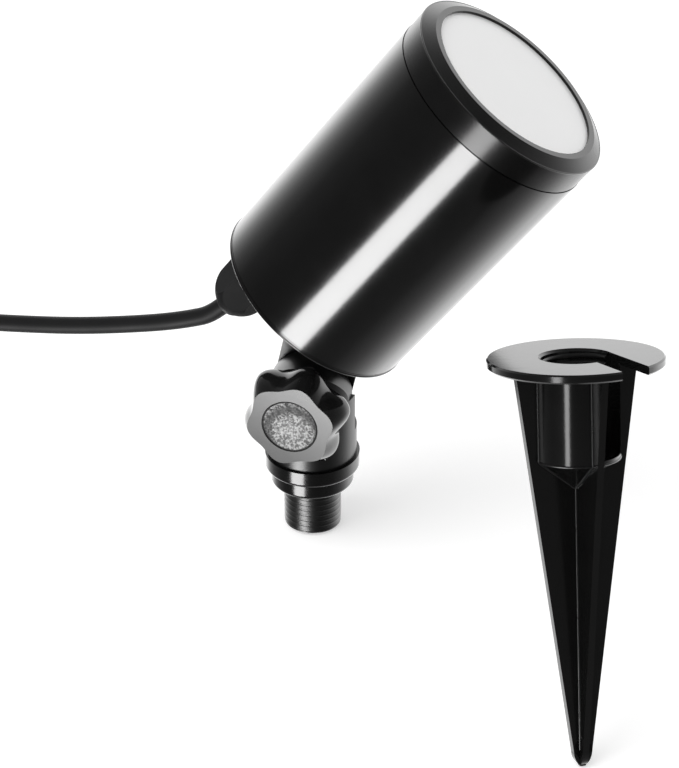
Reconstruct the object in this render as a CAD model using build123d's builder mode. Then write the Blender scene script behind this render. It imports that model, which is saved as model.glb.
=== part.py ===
# Garden spike spotlight: a round lamp head tilting on a threaded knuckle, with its
# rubber supply cable, and the finned ground spike standing beside it.
# Millimetres, +Z up. The origin is on the stud's axis, at the seat under its foot.
import os
from math import atan, cos, pi, radians, sin, sqrt, tan

from build123d import *

os.makedirs("parts", exist_ok=True)

# ---- clearances
running = 0.06          # radial play of a screw or shaft in its hole
slack = 0.3             # gap between curved faces that turn past each other
swing_gap = 0.5         # between the upper ear and the shoulder under it

# ---- threaded stud and foot
stud_radius = 10.4775   # half of the 20.955 mm of a G 1/2 thread
stud_length = 18.8
stud_chamfer = 1.2
lower_step_radius = 15.2
lower_step_height = 6.4
upper_step_radius = 17.3
upper_step_height = 6.2
step_round = 1.5

# ---- knuckle
body_radius = 16.2      # upright round body above the foot
ear_radius = 15.2       # lower ear, about the pivot
arm_radius = 14.3       # upper ear and its arm
pivot_height = 38.6
ear_front = 13.5        # lower ear's flat front face, from the mid-plane
ear_back = 13.2         # upper ear's flat back face, from the mid-plane
knob_relief = 1.6       # room under the knob before the body swells out again
friction_thickness = 1.0
friction_radius = 12.0
bolt_radius = 4.0
bolt_head_flats = 13.0
bolt_head_height = 5.3
bolt_reach = 24.5       # bolt's tip, from the mid-plane
bolt_chamfer = 0.7
knob_washer_radius = 8.0
knob_washer_thickness = 1.4

# ---- star knob
knob_height = 12.7
knob_lobes = 6
knob_turn = 14.0        # first lobe's angle, from +X towards +Z
knob_sections = (       # share of the height, lobe radius, valley radius
    (0.0, 18.4, 15.2),
    (0.3, 19.4, 15.9),
    (0.72, 17.9, 15.2),
    (1.0, 15.8, 14.1),
)
knob_cap_radius = 10.1
knob_cap_thickness = 1.6
knob_cap_recess = 0.3
insert_radius = 6.5
insert_length = 8.0

# ---- lamp head, in its own frame: z along the head from the rear rim
head_tilt = 37.6        # from upright towards +X
pivot_offset = 21.7     # pivot's place from the head's axis
pivot_drop = 32.8       # pivot's depth behind the rear rim
head_radius = 37.0
housing_wall = 2.8
housing_front = 96.8
rear_rim = 1.1
rear_seam = 0.2
front_seam = 0.3
neck_step = 2.6         # the threaded neck, inside the housing's surface
neck_wall = 2.9
front_thread_length = 6.4
neck_bore_length = 9.6
bore_taper = 2.7
bezel_front = 108.2
bezel_inset = 0.2       # inside the housing's surface
bezel_chamfer_height = 2.3
bezel_chamfer_width = 4.4
bezel_face_width = 2.1
lens_recess = 1.0
lens_thickness = 3.0
lens_overlap = 1.1      # on the neck's end
lens_play = 0.05        # under the lip that turns over the lens
gasket_thickness = 1.0
front_ring_section = 0.65
rear_ring_section = 0.8

# ---- rear cap and what it carries
cap_thickness = 5.2
cap_screw_count = 4
cap_screw_radius = 1.5
cap_screw_head = 2.8
cap_screw_head_height = 2.0
cap_screw_sunk = 0.4
cap_screw_length = 12.0
groove_wall = 0.5       # between a screw's head and the seal's groove
boss_embed = 0.4        # depth of each boss in the housing's wall
boss_length = 11.0
pad_radius = 15.5       # of the knuckle's pad under the cap
pad_gap = 2.6           # from the gland's flats to the pad
pad_thickness = 6.5
pad_screw_spacing = 18.0
pad_screw_radius = 2.0
pad_screw_head = 3.5
pad_screw_head_height = 2.6
pad_screw_reach = 5.0   # how far the screws enter the pad

# ---- cable gland
gland_flats = 17.4
gland_flange = 5.0
gland_washer_thickness = 1.0
gland_thread_radius = 7.9
gland_thread_spare = 0.6
gland_clamp_radius = 7.0
gland_clamp_length = 8.0
gland_bore = 3.8
seal_radius = 5.4
seal_length = 21.5
seal_lip_radius = 4.7
gland_exit = 28.9       # where the cable leaves, behind the rear rim
gland_nut_end = 27.0
gland_dome = 8.0
gland_dome_radius = 6.2
gland_dome_arc = 12.8
lock_nut_flats = 20.0
lock_nut_thickness = 4.0
lock_nut_room = 2.25    # from its corners to the housing's bore

# ---- lamp, its holder and wiring
lamp_radius = 25.0
lamp_length = 54.0
lamp_back_arc = 108.0
lamp_rim = 5.5
lamp_neck_radius = 13.5
lamp_neck_length = 13.0
lamp_face = 97.2
diffuser_radius = 22.4
diffuser_thickness = 2.6
pin_pitch = 10.0
pin_radius = 1.5
pin_head_radius = 2.4
pin_head_height = 2.0
pin_length = 7.0
holder_radius = 14.5
holder_height = 17.6
bracket_sheet = 1.2
bracket_width = 22.0
bracket_foot = 9.0
bracket_room = 2.2      # from the feet's ends to the housing's bore
holder_screw_spacing = 18.0
small_screw_radius = 1.5
small_screw_head = 2.8
small_screw_head_height = 1.8
small_screw_depth = 3.4
terminal_room = 1.1     # from the pad screws' heads
terminal_length = 18.0
terminal_height = 8.5
terminal_entry = 1.4
core_radius = 0.95
core_pitch = 5.0        # in the terminal block
core_spread = 2.0       # in the sheath
core_bend = 3.5
core_insertion = 4.0
core_rise = 1.5         # straight above the sheath's end
core_slope_start = 17.0  # before the terminal block
core_slope_end = 6.0
lead_room = 4.0         # from the housing's bore to the leads
lead_run = 3.2          # from the terminal block to the leads' rise
lead_height = 31.0

# ---- cable
cable_radius = 3.2
stub_inside = 14.0      # where the sheath ends inside the head
cable_bend_share = 0.45  # of the shorter run at each corner
exit_run = 3.6          # straight beyond the gland
floor_level = -stud_length
cable_points = (        # the hanging stretch, as (x, z) in the plane y = 0
    (-48.4, 58.9),
    (-66.0, 54.7),
    (-90.0, 50.3),
    (-114.0, 47.6),
    (-127.0, 46.5),
    (-141.5, 39.7),
    (-152.4, 28.0),
    (-162.1, 3.9),
    (-170.5, -6.1),
    (-181.8, -12.6),
)
floor_corner_x = -193.9
floor_run_end_x = -206.0
coil_turns = 3.5
coil_middle_radius = 35.0
coil_pitch = 7.1
coil_rise = 6.9
coil_climb = 0.5        # turns that the change of layer takes
coil_arcs = 4           # pairs of arcs in a turn
heading_step = 1e-4     # turns
end_core_length = 22.0

# ---- ground spike, in its own frame: z along its axis, flange top at 0
spike_place = (103.4, -69.5, 106.7)
spike_axis = (-0.1241, 0.2866, 0.9500)
spike_side = (0.9898, 0.103, 0.0982)
spike_length = 131.65
spike_tip_arc = 6.0
spike_tip_flat = 0.8
flange_radius = 26.85
flange_thickness = 2.7
flange_edge = 0.5
socket_radius = 10.55
socket_mouth = 11.35
socket_depth = 28.5
socket_boss_radius = 13.2
socket_boss_depth = 31.2
socket_cone_depth = 9.8
socket_cone_end = 1.5
fin_count = 4
fin_turn = -60.0
fin_thickness = 2.2
fin_top_radius = 20.2
fin_tip_radius = 3.2
fin_tip_rise = 5.0
slot_turn = -57.6
slot_outer_wall = 11.25
slot_width = 10.1
slot_depth = 30.0

# ---- planes
pivot = Vector(0, 0, pivot_height)
pivot_plane = Plane(origin=pivot, x_dir=(1, 0, 0), z_dir=(0, -1, 0))
tilt = radians(head_tilt)
head_x = Vector(cos(tilt), 0, -sin(tilt))
head_z = Vector(sin(tilt), 0, cos(tilt))
head_origin = pivot - head_x * pivot_offset + head_z * pivot_drop
head_plane = Plane(origin=head_origin, x_dir=head_x, z_dir=head_z)
head_cross = Plane(origin=head_origin, x_dir=(0, 1, 0), z_dir=head_x)
housing_bore = head_radius - housing_wall
lock_nut_corner = lock_nut_flats / 2 / cos(pi / 6)
gland_offset = lock_nut_room + lock_nut_corner - housing_bore
pad_centre = gland_offset + gland_flats / 2 + pad_gap + pad_radius
spike_plane = Plane(origin=spike_place, x_dir=spike_side, z_dir=spike_axis)


def section_of(plane, x=0.0, y=0.0):
    # the half-plane of a turned piece: radius across, height up the plane's own axis
    origin = plane.from_local_coords((x, y, 0))
    return Plane(origin=origin, x_dir=plane.x_dir, z_dir=-plane.y_dir)


def facing_back(plane, height):
    # the same plane at a height, looking the other way along its axis
    origin = plane.from_local_coords((0, 0, height))
    return Plane(origin=origin, x_dir=plane.x_dir, z_dir=-plane.z_dir)


def turned(section, outline):
    # a piece turned about its section's upright axis from a (radius, height) outline
    with BuildPart() as piece:
        with BuildSketch(section):
            with BuildLine():
                Polyline(outline, close=True)
            make_face()
        revolve(axis=Axis(section.origin, section.y_dir))
    return piece


def round_ring(section, middle, height, radius):
    # a round-section sealing ring
    with BuildPart() as piece:
        with BuildSketch(section):
            with Locations((middle, height)):
                Circle(radius)
        revolve(axis=Axis(section.origin, section.y_dir))
    return piece


def screws(seat, places, head_radius, head_height, shank_radius, length):
    # socket-head screws whose heads stand on the seat's plane
    with BuildPart() as group:
        with BuildSketch(seat):
            with Locations(*places):
                Circle(head_radius)
        extrude(amount=head_height)
        with BuildSketch(seat):
            with Locations(*places):
                Circle(shank_radius)
        extrude(amount=-length)
        with BuildSketch(seat.offset(head_height)):
            with Locations(*places):
                RegularPolygon(head_radius / 2, 6)
        extrude(amount=-head_height / 2, mode=Mode.SUBTRACT)
    return group


def tube_along(path_line, radius):
    # a round tube along a line
    start = Plane(origin=path_line @ 0, z_dir=path_line % 0)
    with BuildPart() as piece:
        with BuildSketch(start):
            Circle(radius)
        sweep(path=path_line)
    return piece


def write(piece, name):
    piece.part.label = name
    export_step(piece.part, f"parts/{name}.step")


# ---- knuckle_lower: stud, stepped foot and the front ear, one casting
foot_height = lower_step_height + upper_step_height
shoulder = pivot_height - arm_radius - swing_gap
ear_top = pivot_height + body_radius
half_gap = friction_thickness / 2
knob_swing = max(section[1] for section in knob_sections)
relief_top = pivot_height - knob_swing - knob_relief
with BuildPart() as knuckle_lower:
    with BuildSketch(Plane.XZ):
        with BuildLine():
            Polyline(
                (0, -stud_length),
                (stud_radius - stud_chamfer, -stud_length),
                (stud_radius, stud_chamfer - stud_length),
                (stud_radius, 0),
                (lower_step_radius, 0),
                (lower_step_radius, lower_step_height),
                (upper_step_radius, lower_step_height),
                (upper_step_radius, foot_height),
                (body_radius, foot_height),
                (body_radius, ear_top),
                (0, ear_top),
                close=True,
            )
        make_face()
    revolve(axis=Axis.Z)
    rims = knuckle_lower.edges().filter_by(GeomType.CIRCLE)
    lower_rim = [e for e in rims if e.center().Z == 0 and abs(e.radius - lower_step_radius) < 0.01]
    upper_rim = [e for e in rims if abs(e.radius - upper_step_radius) < 0.01]
    upper_rim = [min(upper_rim, key=lambda e: e.center().Z)]
    fillet(lower_rim + upper_rim, step_round)
    # the back half stops at a shoulder, so that the upper ear swings over it
    with BuildSketch(Plane.XY.offset(shoulder)):
        with Locations((0, body_radius - half_gap)):
            Rectangle(4 * body_radius, 2 * body_radius)
    extrude(amount=2 * ear_top, mode=Mode.SUBTRACT)
    # the front is flat behind the knob
    with BuildSketch(Plane.XY.offset(relief_top)):
        with Locations((0, -ear_front - body_radius)):
            Rectangle(4 * body_radius, 2 * body_radius)
    extrude(amount=2 * ear_top, mode=Mode.SUBTRACT)
    # the ear is round about the pivot
    with BuildSketch(pivot_plane):
        with Locations((0, 2 * body_radius)):
            Rectangle(4 * body_radius, 4 * body_radius)
        Circle(ear_radius, mode=Mode.SUBTRACT)
    extrude(amount=2 * body_radius, both=True, mode=Mode.SUBTRACT)
    with BuildSketch(pivot_plane):
        Circle(bolt_radius + running)
    extrude(amount=2 * body_radius, both=True, mode=Mode.SUBTRACT)
write(knuckle_lower, "knuckle_lower")

# ---- knuckle_upper: the rear ear, its leaning arm and the round pad under the head
pad_middle = head_plane.from_local_coords((pad_centre, 0, 0))
arm_line = pad_middle - pivot
arm_direction = arm_line.normalized()
arm_length = arm_line.length
arm_plane = Plane(origin=pivot, x_dir=(0, 1, 0), z_dir=arm_direction)
arm_side = Plane(origin=pivot, x_dir=Vector(0, 1, 0).cross(arm_direction), z_dir=(0, -1, 0))
ear_slab = ear_back - half_gap
bolt_head_seat = ear_back - bolt_head_height
pad_screw_places = ((pad_centre, -pad_screw_spacing / 2), (pad_centre, pad_screw_spacing / 2))
with BuildPart() as knuckle_upper:
    with BuildSketch(arm_plane.offset(-arm_radius)):
        Circle(arm_radius)
    extrude(amount=2 * arm_radius + arm_length)
    with BuildSketch(arm_side.offset(-half_gap)):
        Circle(arm_radius)
        with Locations((0, arm_length)):
            Rectangle(2 * arm_radius, 2 * arm_length)
    extrude(amount=-ear_slab, mode=Mode.INTERSECT)
    split(bisect_by=head_plane.offset(-pad_thickness / 2), keep=Keep.BOTTOM)
    with BuildSketch(head_plane):
        with Locations((pad_centre, 0)):
            Circle(pad_radius)
    extrude(amount=-pad_thickness)
    with BuildSketch(arm_side):
        Circle(bolt_radius + running)
    extrude(amount=-2 * ear_back, mode=Mode.SUBTRACT)
    with BuildSketch(arm_side.offset(-bolt_head_seat)):
        RegularPolygon(bolt_head_flats / 2 + running, 6, major_radius=False)
    extrude(amount=-2 * bolt_head_height, mode=Mode.SUBTRACT)
    with BuildSketch(head_plane):
        with Locations(*pad_screw_places):
            Circle(pad_screw_radius + running)
    extrude(amount=-pad_screw_reach - slack, mode=Mode.SUBTRACT)
write(knuckle_upper, "knuckle_upper")

# ---- friction_washer between the ears
with BuildPart() as friction_washer:
    with BuildSketch(pivot_plane):
        Circle(friction_radius)
        Circle(bolt_radius + running, mode=Mode.SUBTRACT)
    extrude(amount=half_gap, both=True)
write(friction_washer, "friction_washer")

# ---- pivot_bolt: its hex head is captive in the upper ear
with BuildPart() as pivot_bolt:
    with BuildSketch(arm_side.offset(-bolt_head_seat)):
        RegularPolygon(bolt_head_flats / 2, 6, major_radius=False)
    extrude(amount=-bolt_head_height)
    with BuildSketch(arm_side.offset(-bolt_head_seat)):
        Circle(bolt_radius)
    extrude(amount=bolt_head_seat + bolt_reach)
    chamfer(pivot_bolt.faces().sort_by(Axis.Y)[0].edges(), bolt_chamfer)
write(pivot_bolt, "pivot_bolt")

# ---- knob_washer
knob_back = ear_front + knob_washer_thickness
with BuildPart() as knob_washer:
    with BuildSketch(pivot_plane.offset(ear_front)):
        Circle(knob_washer_radius)
        Circle(bolt_radius + running, mode=Mode.SUBTRACT)
    extrude(amount=knob_washer_thickness)
write(knob_washer, "knob_washer")

# ---- knob: six lobes that flare towards the ear
points_per_lobe = 4


def lobed_loop(lobe_radius, valley_radius):
    # a wavy closed outline whose first lobe stands at the knob's turn
    middle = (lobe_radius + valley_radius) / 2
    swell = (lobe_radius - valley_radius) / 2
    loop = []
    for step in range(points_per_lobe * knob_lobes):
        angle = 2 * pi * step / (points_per_lobe * knob_lobes)
        radius = middle + swell * cos(knob_lobes * angle)
        turn = angle + radians(knob_turn)
        loop.append((radius * cos(turn), radius * sin(turn)))
    return loop


cap_pocket_depth = knob_cap_thickness + knob_cap_recess
bolt_well = bolt_reach - knob_back + slack
with BuildPart() as knob:
    for share, lobe_radius, valley_radius in knob_sections:
        with BuildSketch(pivot_plane.offset(knob_back + share * knob_height)):
            with BuildLine():
                Spline(*lobed_loop(lobe_radius, valley_radius), periodic=True)
            make_face()
    loft()
    with BuildSketch(pivot_plane.offset(knob_back + knob_height)):
        Circle(knob_cap_radius + running)
    extrude(amount=-cap_pocket_depth, mode=Mode.SUBTRACT)
    with BuildSketch(pivot_plane.offset(knob_back)):
        Circle(insert_radius)
    extrude(amount=insert_length, mode=Mode.SUBTRACT)
    with BuildSketch(pivot_plane.offset(knob_back)):
        Circle(bolt_radius + slack)
    extrude(amount=bolt_well, mode=Mode.SUBTRACT)
write(knob, "knob")

# ---- knob_insert: threaded brass bush moulded into the knob
with BuildPart() as knob_insert:
    with BuildSketch(pivot_plane.offset(knob_back)):
        Circle(insert_radius - running / 2)
        Circle(bolt_radius + running, mode=Mode.SUBTRACT)
    extrude(amount=insert_length)
write(knob_insert, "knob_insert")

# ---- knob_cap: disc set into the knob's face
with BuildPart() as knob_cap:
    with BuildSketch(pivot_plane.offset(knob_back + knob_height - cap_pocket_depth)):
        Circle(knob_cap_radius)
    extrude(amount=knob_cap_thickness)
write(knob_cap, "knob_cap")

# ---- head_housing: drawn tube with screw bosses behind and a threaded neck in front
head_section = section_of(head_plane)
housing_rear = rear_rim + rear_seam
front_thread_radius = head_radius - neck_step
front_bore = front_thread_radius - neck_wall
neck_front = housing_front + front_thread_length
front_ring_middle = front_thread_radius - front_ring_section
front_groove_floor = front_thread_radius - 2 * front_ring_section
front_groove_start = housing_front + front_seam
front_groove_end = front_groove_start + 2 * front_ring_section + slack / 2
taper_end = neck_front - neck_bore_length
spigot_radius = housing_bore - running
rear_groove_floor = spigot_radius - 2 * rear_ring_section
cap_screw_circle = rear_groove_floor - groove_wall - cap_screw_head - running
boss_radius = housing_bore - cap_screw_circle + boss_embed
cap_screw_places = [
    (cap_screw_circle * cos(turn), cap_screw_circle * sin(turn))
    for turn in [2 * pi * (index + 0.5) / cap_screw_count for index in range(cap_screw_count)]
]
cap_screw_seat = cap_screw_sunk + cap_screw_head_height
cap_screw_tip = cap_screw_seat + cap_screw_length
with BuildPart() as head_housing:
    with BuildSketch(head_section):
        with BuildLine():
            Polyline(
                (housing_bore, housing_rear),
                (head_radius, housing_rear),
                (head_radius, housing_front),
                (front_thread_radius, housing_front),
                (front_thread_radius, front_groove_start),
                (front_groove_floor, front_groove_start),
                (front_groove_floor, front_groove_end),
                (front_thread_radius, front_groove_end),
                (front_thread_radius, neck_front),
                (front_bore, neck_front),
                (front_bore, taper_end),
                (housing_bore, taper_end - bore_taper),
                close=True,
            )
        make_face()
    revolve(axis=Axis(head_origin, head_z))
    with BuildSketch(head_plane.offset(cap_thickness)):
        with Locations(*cap_screw_places):
            Circle(boss_radius)
    extrude(amount=boss_length)
    with BuildSketch(head_plane.offset(cap_thickness)):
        with Locations(*cap_screw_places):
            Circle(cap_screw_radius + running)
    extrude(amount=cap_screw_tip - cap_thickness + slack, mode=Mode.SUBTRACT)
write(head_housing, "head_housing")

# ---- rear_cap: plate with a spigot into the housing
rear_ring_height = (rear_rim + cap_thickness) / 2
rear_ring_middle = spigot_radius - rear_ring_section
rear_groove_half = rear_ring_section + slack / 4
foot_end = sqrt(housing_bore**2 - bracket_width**2 / 4) - bracket_room
leg_outer = foot_end - bracket_foot
bracket_span = leg_outer - bracket_sheet
foot_screw_place = leg_outer + bracket_foot / 2
foot_screw_places = ((0, -foot_screw_place), (0, foot_screw_place))
with BuildPart() as rear_cap:
    with BuildSketch(head_section):
        with BuildLine():
            Polyline(
                (0, 0),
                (head_radius - rear_seam, 0),
                (head_radius, rear_seam),
                (head_radius, rear_rim),
                (spigot_radius, rear_rim),
                (spigot_radius, rear_ring_height - rear_groove_half),
                (rear_groove_floor, rear_ring_height - rear_groove_half),
                (rear_groove_floor, rear_ring_height + rear_groove_half),
                (spigot_radius, rear_ring_height + rear_groove_half),
                (spigot_radius, cap_thickness),
                (0, cap_thickness),
                close=True,
            )
        make_face()
    revolve(axis=Axis(head_origin, head_z))
    with BuildSketch(head_plane):
        with Locations(*cap_screw_places):
            Circle(cap_screw_radius + running)
        with Locations(*pad_screw_places):
            Circle(pad_screw_radius + running)
        with Locations((gland_offset, 0)):
            Circle(gland_thread_radius + running)
    extrude(amount=cap_thickness, mode=Mode.SUBTRACT)
    with BuildSketch(head_plane):
        with Locations(*cap_screw_places):
            Circle(cap_screw_head + running)
    extrude(amount=cap_screw_seat, mode=Mode.SUBTRACT)
    with BuildSketch(head_plane.offset(cap_thickness)):
        with Locations(*foot_screw_places):
            Circle(small_screw_radius + running)
    extrude(amount=-small_screw_depth, mode=Mode.SUBTRACT)
write(rear_cap, "rear_cap")
write(round_ring(head_section, rear_ring_middle, rear_ring_height, rear_ring_section), "rear_ring")
write(
    screws(facing_back(head_plane, cap_screw_seat), cap_screw_places, cap_screw_head,
           cap_screw_head_height, cap_screw_radius, cap_screw_length),
    "cap_screws",
)
write(
    screws(head_plane.offset(cap_thickness), pad_screw_places, pad_screw_head,
           pad_screw_head_height, pad_screw_radius, cap_thickness + pad_screw_reach),
    "pad_screws",
)

# ---- front end: ring seal, gasket, lens and the threaded bezel that holds them
front_ring_height = front_groove_start + front_ring_section + slack / 4
write(round_ring(head_section, front_ring_middle, front_ring_height, front_ring_section), "front_ring")

bezel_radius = head_radius - bezel_inset
bezel_face_outer = bezel_radius - bezel_chamfer_width
bezel_bore = front_thread_radius + running
lens_window = bezel_face_outer - bezel_face_width
lens_radius = front_bore + lens_overlap
lens_front = bezel_front - lens_recess
lens_back = lens_front - lens_thickness
lip_back = lens_front + lens_play
write(
    turned(head_section, [
        (front_bore, lens_back - gasket_thickness),
        (lens_radius, lens_back - gasket_thickness),
        (lens_radius, lens_back),
        (front_bore, lens_back),
    ]),
    "lens_gasket",
)
write(
    turned(head_section, [
        (0, lens_back),
        (lens_radius, lens_back),
        (lens_radius, lens_front),
        (0, lens_front),
    ]),
    "lens",
)
write(
    turned(head_section, [
        (bezel_bore, housing_front + front_seam),
        (bezel_radius, housing_front + front_seam),
        (bezel_radius, bezel_front - bezel_chamfer_height),
        (bezel_face_outer, bezel_front),
        (lens_window, bezel_front),
        (lens_window, lip_back),
        (lens_radius + slack, lip_back),
        (lens_radius + slack, neck_front + slack),
        (bezel_bore, neck_front + slack),
    ]),
    "front_bezel",
)

# ---- cable gland through the rear cap
gland_section = section_of(head_plane, gland_offset)
gland_shoulder = -gland_washer_thickness
gland_flange_end = gland_shoulder - gland_flange
gland_thread_top = cap_thickness + lock_nut_thickness + gland_thread_spare
clamp_end = gland_flange_end - gland_clamp_length
seal_top = seal_length - gland_exit
write(
    turned(gland_section, [
        (gland_thread_radius + running, gland_shoulder),
        (gland_flats / 2, gland_shoulder),
        (gland_flats / 2, 0),
        (gland_thread_radius + running, 0),
    ]),
    "gland_washer",
)
with BuildPart() as gland_body:
    with BuildSketch(head_plane.offset(gland_flange_end)):
        with Locations((gland_offset, 0)):
            RegularPolygon(gland_flats / 2, 6, major_radius=False)
    extrude(amount=gland_flange)
    with BuildSketch(head_plane.offset(clamp_end)):
        with Locations((gland_offset, 0)):
            Circle(gland_clamp_radius)
    extrude(amount=gland_clamp_length)
    with BuildSketch(head_plane.offset(gland_shoulder)):
        with Locations((gland_offset, 0)):
            Circle(gland_thread_radius)
    extrude(amount=gland_thread_top - gland_shoulder)
    with BuildSketch(head_plane.offset(clamp_end)):
        with Locations((gland_offset, 0)):
            Circle(gland_bore)
    extrude(amount=gland_thread_top - clamp_end, mode=Mode.SUBTRACT)
    with BuildSketch(head_plane.offset(clamp_end)):
        with Locations((gland_offset, 0)):
            Circle(seal_radius + running)
    extrude(amount=seal_top - clamp_end, mode=Mode.SUBTRACT)
write(gland_body, "gland_body")
write(
    turned(gland_section, [
        (cable_radius + running, -gland_exit),
        (seal_lip_radius - slack, -gland_exit),
        (seal_lip_radius, slack - gland_exit),
        (seal_lip_radius, -gland_nut_end),
        (seal_lip_radius, gland_dome / 4 - gland_nut_end),
        (seal_radius, gland_dome / 2 - gland_nut_end),
        (seal_radius, seal_top),
        (cable_radius + running, seal_top),
    ]),
    "gland_seal",
)
with BuildPart() as gland_nut:
    nut_start = gland_flange_end - slack
    nut_corner = gland_flats / 2 / cos(pi / 6)
    dome_start = gland_dome - gland_nut_end
    with BuildSketch(gland_section):
        with BuildLine():
            Polyline(
                (gland_clamp_radius + running, nut_start),
                (nut_corner, nut_start),
                (nut_corner, dome_start),
            )
            RadiusArc((nut_corner, dome_start), (gland_dome_radius, -gland_nut_end), gland_dome_arc)
            Polyline(
                (gland_dome_radius, -gland_nut_end),
                (seal_lip_radius + running, -gland_nut_end),
                (seal_lip_radius + running, gland_dome / 4 - gland_nut_end),
                (seal_radius + running, gland_dome / 2 - gland_nut_end),
                (seal_radius + running, clamp_end - slack),
                (gland_clamp_radius + running, clamp_end - slack),
                (gland_clamp_radius + running, nut_start),
            )
        make_face()
    revolve(axis=Axis(gland_section.origin, gland_section.y_dir))
    with BuildSketch(head_plane.offset(nut_start)):
        with Locations((gland_offset, 0)):
            RegularPolygon(gland_flats / 2, 6, major_radius=False)
    extrude(amount=-gland_nut_end - nut_start, mode=Mode.INTERSECT)
write(gland_nut, "gland_nut")
with BuildPart() as gland_lock_nut:
    with BuildSketch(head_plane.offset(cap_thickness)):
        with Locations((gland_offset, 0)):
            RegularPolygon(lock_nut_flats / 2, 6, major_radius=False)
            Circle(gland_thread_radius + running, mode=Mode.SUBTRACT)
    extrude(amount=lock_nut_thickness)
write(gland_lock_nut, "gland_lock_nut")

# ---- lamp: reflector body, diffuser and twist-lock pins
lamp_back = lamp_face - lamp_length
lamp_neck_top = lamp_back + lamp_neck_length
lamp_rim_back = lamp_face - lamp_rim
pin_places = ((0, -pin_pitch / 2), (0, pin_pitch / 2))
with BuildPart() as lamp_body:
    with BuildSketch(head_section):
        with BuildLine():
            Polyline((0, lamp_back), (lamp_neck_radius, lamp_back), (lamp_neck_radius, lamp_neck_top))
            RadiusArc((lamp_neck_radius, lamp_neck_top), (lamp_radius, lamp_rim_back), lamp_back_arc)
            Polyline(
                (lamp_radius, lamp_rim_back),
                (lamp_radius, lamp_face),
                (diffuser_radius + running, lamp_face),
                (diffuser_radius + running, lamp_face - diffuser_thickness),
                (0, lamp_face - diffuser_thickness),
                (0, lamp_back),
            )
        make_face()
    revolve(axis=Axis(head_origin, head_z))
write(lamp_body, "lamp_body")
with BuildPart() as lamp_diffuser:
    with BuildSketch(head_plane.offset(lamp_face - diffuser_thickness)):
        Circle(diffuser_radius)
    extrude(amount=diffuser_thickness)
write(lamp_diffuser, "lamp_diffuser")
with BuildPart() as lamp_pins:
    with BuildSketch(head_plane.offset(lamp_back)):
        with Locations(*pin_places):
            Circle(pin_radius)
    extrude(amount=-pin_length)
    with BuildSketch(head_plane.offset(lamp_back - pin_length)):
        with Locations(*pin_places):
            Circle(pin_head_radius)
    extrude(amount=pin_head_height)
write(lamp_pins, "lamp_pins")

# ---- lamp_holder on its sheet bracket
holder_base = lamp_back - holder_height
bracket_top = holder_base - bracket_sheet
holder_screw_places = ((0, -holder_screw_spacing / 2), (0, holder_screw_spacing / 2))
lead_places = ((-core_pitch, lead_height), (0, lead_height))
with BuildPart() as lamp_holder:
    with BuildSketch(head_plane.offset(holder_base)):
        Circle(holder_radius)
    extrude(amount=holder_height)
    with BuildSketch(head_plane.offset(lamp_back)):
        with Locations(*pin_places):
            Circle(pin_head_radius + slack)
    extrude(amount=-pin_length - slack, mode=Mode.SUBTRACT)
    with BuildSketch(head_plane.offset(holder_base)):
        with Locations(*holder_screw_places):
            Circle(small_screw_radius + running)
    extrude(amount=small_screw_depth + slack, mode=Mode.SUBTRACT)
    with BuildSketch(head_cross.offset(holder_radius)):
        with Locations(*lead_places):
            Circle(core_radius + slack)
    extrude(amount=-core_insertion - slack, mode=Mode.SUBTRACT)
write(lamp_holder, "lamp_holder")
with BuildPart() as holder_bracket:
    with BuildSketch(head_cross):
        with BuildLine():
            Polyline(
                (foot_end, cap_thickness),
                (foot_end, cap_thickness + bracket_sheet),
                (leg_outer, cap_thickness + bracket_sheet),
                (leg_outer, holder_base),
                (-leg_outer, holder_base),
                (-leg_outer, cap_thickness + bracket_sheet),
                (-foot_end, cap_thickness + bracket_sheet),
                (-foot_end, cap_thickness),
                (-bracket_span, cap_thickness),
                (-bracket_span, bracket_top),
                (bracket_span, bracket_top),
                (bracket_span, cap_thickness),
                close=True,
            )
        make_face()
    extrude(amount=bracket_width / 2, both=True)
    with BuildSketch(head_plane.offset(bracket_top)):
        with Locations(*holder_screw_places):
            Circle(small_screw_radius + running)
    extrude(amount=bracket_sheet, mode=Mode.SUBTRACT)
    with BuildSketch(head_plane.offset(cap_thickness)):
        with Locations(*foot_screw_places):
            Circle(small_screw_radius + running)
    extrude(amount=bracket_sheet, mode=Mode.SUBTRACT)
write(holder_bracket, "holder_bracket")
write(
    screws(facing_back(head_plane, bracket_top), holder_screw_places, small_screw_head,
           small_screw_head_height, small_screw_radius, bracket_sheet + small_screw_depth),
    "holder_screws",
)
write(
    screws(head_plane.offset(cap_thickness + bracket_sheet), foot_screw_places, small_screw_head,
           small_screw_head_height, small_screw_radius, bracket_sheet + small_screw_depth - slack),
    "bracket_screws",
)

# ---- terminal_block on the cap, the supply cores into it and the leads to the holder
entry_height = cap_thickness + terminal_height / 2
lead_place = housing_bore - lead_room
terminal_near = pad_centre + pad_screw_head + terminal_room
terminal_far = lead_place - lead_run
terminal_width = terminal_far - terminal_near
entry_places = [(core_pitch * index, entry_height) for index in (-1, 0, 1)]
with BuildPart() as terminal_block:
    with BuildSketch(head_plane.offset(cap_thickness)):
        with Locations((terminal_near + terminal_width / 2, 0)):
            Rectangle(terminal_width, terminal_length)
    extrude(amount=terminal_height)
    with BuildSketch(head_cross.offset(terminal_near)):
        with Locations(*entry_places):
            Circle(terminal_entry)
    extrude(amount=terminal_width, mode=Mode.SUBTRACT)
write(terminal_block, "terminal_block")


def wire(points, bend):
    # one insulated core along points of the head's frame
    places = [head_plane.from_local_coords(point) for point in points]
    with BuildLine() as line:
        FilletPolyline(*places, radius=bend)
    return tube_along(line.line, core_radius)


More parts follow.
